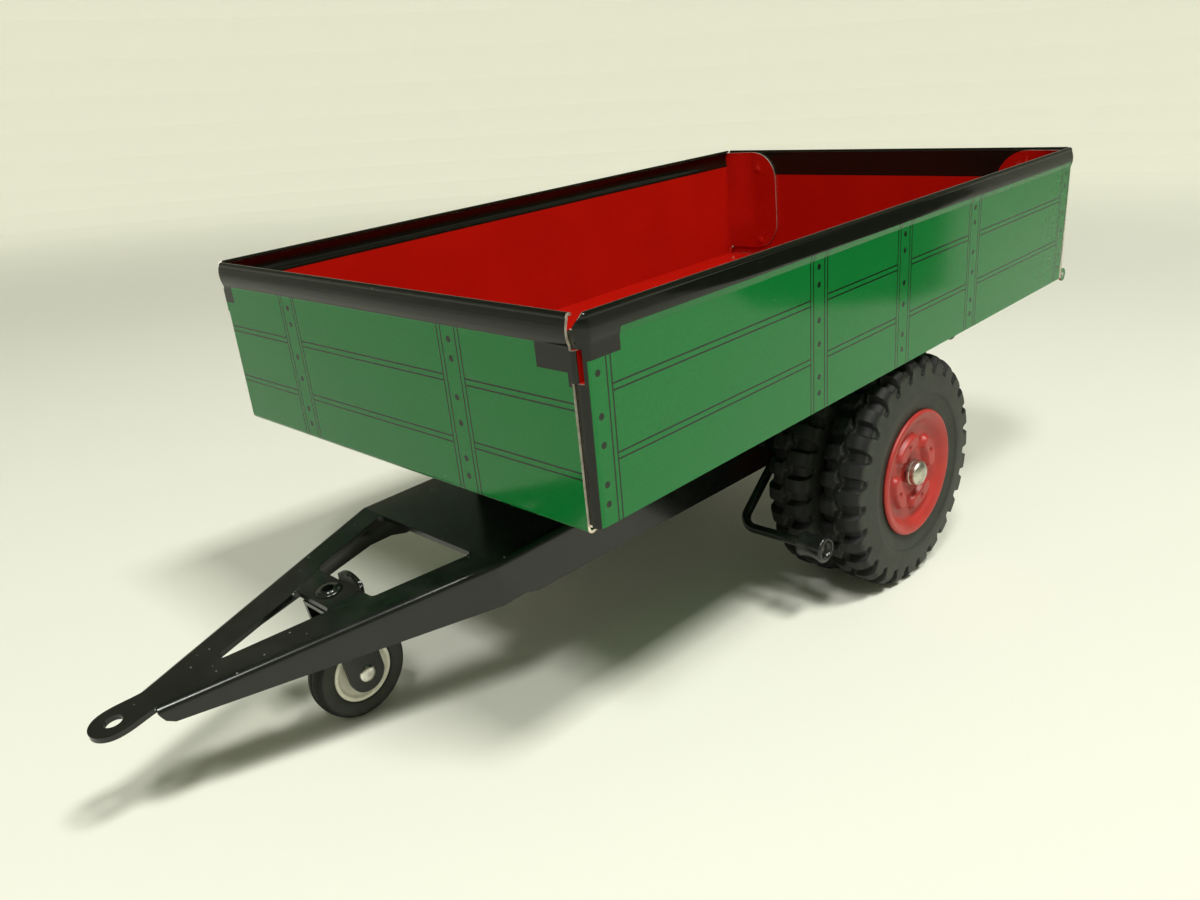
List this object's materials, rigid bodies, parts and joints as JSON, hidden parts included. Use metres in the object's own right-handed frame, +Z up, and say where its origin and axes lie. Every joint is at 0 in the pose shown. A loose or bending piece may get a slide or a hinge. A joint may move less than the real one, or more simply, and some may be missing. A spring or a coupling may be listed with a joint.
{
  "type": "toy farm trailer",
  "caption": "Tinplate toy farm tipping trailer with a hinged tailgate, twin wheels, a castor jockey wheel and a stamped drawbar with an eye.",
  "frame": {"origin": "centre of the drawbar eye's bore, halfway through the plate", "axes": "+X forward, away from the body past the drawbar eye; +Y to the trailer's left; +Z up, square to the floor that the tyres stand on"},
  "size_m": [0.2028, 0.095, 0.0774],
  "materials": {
    "green_litho_tin": "semi-gloss printed tinplate, black line pattern outside, red inside",
    "red_litho_tin": "semi-gloss printed tinplate",
    "black_enamel": "semi-gloss enamel, worn bright at the folds",
    "red_enamel": "gloss enamel",
    "black_rubber": "matt",
    "plated_steel": "bright plated",
    "cream_plastic": "satin",
    "black_plastic": "satin"
  },
  "bodies": {
    "chassis": {"drawbar_frame": "black_enamel", "axle": "plated_steel", "left_axle_cap": "plated_steel", "right_axle_cap": "plated_steel", "left_axle_spacer": "plated_steel", "right_axle_spacer": "plated_steel", "swivel_rivet": "plated_steel", "tipping_pivot": "plated_steel"},
    "castor": {"jockey_fork": "black_enamel", "jockey_pin": "plated_steel"},
    "jockey_wheel": {"jockey_hub": "cream_plastic", "jockey_tyre": "black_rubber"},
    "left_wheels": {"left_outer_tyre": "black_rubber", "left_inner_tyre": "black_rubber", "left_outer_rim": "red_enamel", "left_inner_rim": "red_enamel"},
    "right_wheels": {"right_outer_tyre": "black_rubber", "right_inner_tyre": "black_rubber", "right_outer_rim": "red_enamel", "right_inner_rim": "red_enamel"},
    "tipping_body": {"body_floor": "red_litho_tin", "left_side": "green_litho_tin", "right_side": "green_litho_tin", "front_panel": "green_litho_tin", "hinge_bracket": "black_enamel", "front_rest": "black_enamel", "tailgate_rod": "plated_steel"},
    "tail_board": {"tailgate": "green_litho_tin"},
    "lever": {"tipping_lever": "black_enamel", "lever_knob": "black_plastic"}
  },
  "joints": [
    {"name": "left_wheels_spin", "type": "hinge", "parent": "chassis", "child": "left_wheels", "pos_m": [-0.13246, 0.0364, 0.00565], "axis": [0, 1, 0], "continuous": true},
    {"name": "right_wheels_spin", "type": "hinge", "parent": "chassis", "child": "right_wheels", "pos_m": [-0.13246, -0.0364, 0.00565], "axis": [0, 1, 0], "continuous": true},
    {"name": "jockey_swivel", "type": "hinge", "parent": "chassis", "child": "castor", "pos_m": [-0.03368, 0, 0.0053], "axis": [0.167, 0, 0.986], "continuous": true},
    {"name": "jockey_wheel_spin", "type": "hinge", "parent": "castor", "child": "jockey_wheel", "pos_m": [-0.03635, 0, -0.00865], "axis": [0, 1, 0], "continuous": true},
    {"name": "body_tip", "type": "hinge", "parent": "chassis", "child": "tipping_body", "pos_m": [-0.18354, 0, 0.02231], "axis": [0, -1, 0], "range_deg": [0, 20]},
    {"name": "tipping_lever_turn", "type": "hinge", "parent": "chassis", "child": "lever", "pos_m": [-0.1202, 0, 0.0095], "axis": [0, -1, 0], "range_deg": [0, 56]},
    {"name": "tailgate_swing", "type": "hinge", "parent": "tipping_body", "child": "tail_board", "pos_m": [-0.1981, 0, 0.03312], "axis": [0, -1, 0], "range_deg": [0, 100]}
  ],
  "couplings": [
    {"joint": "tipping_lever_turn", "follows": "body_tip", "ratio": 2.8}
  ]
}
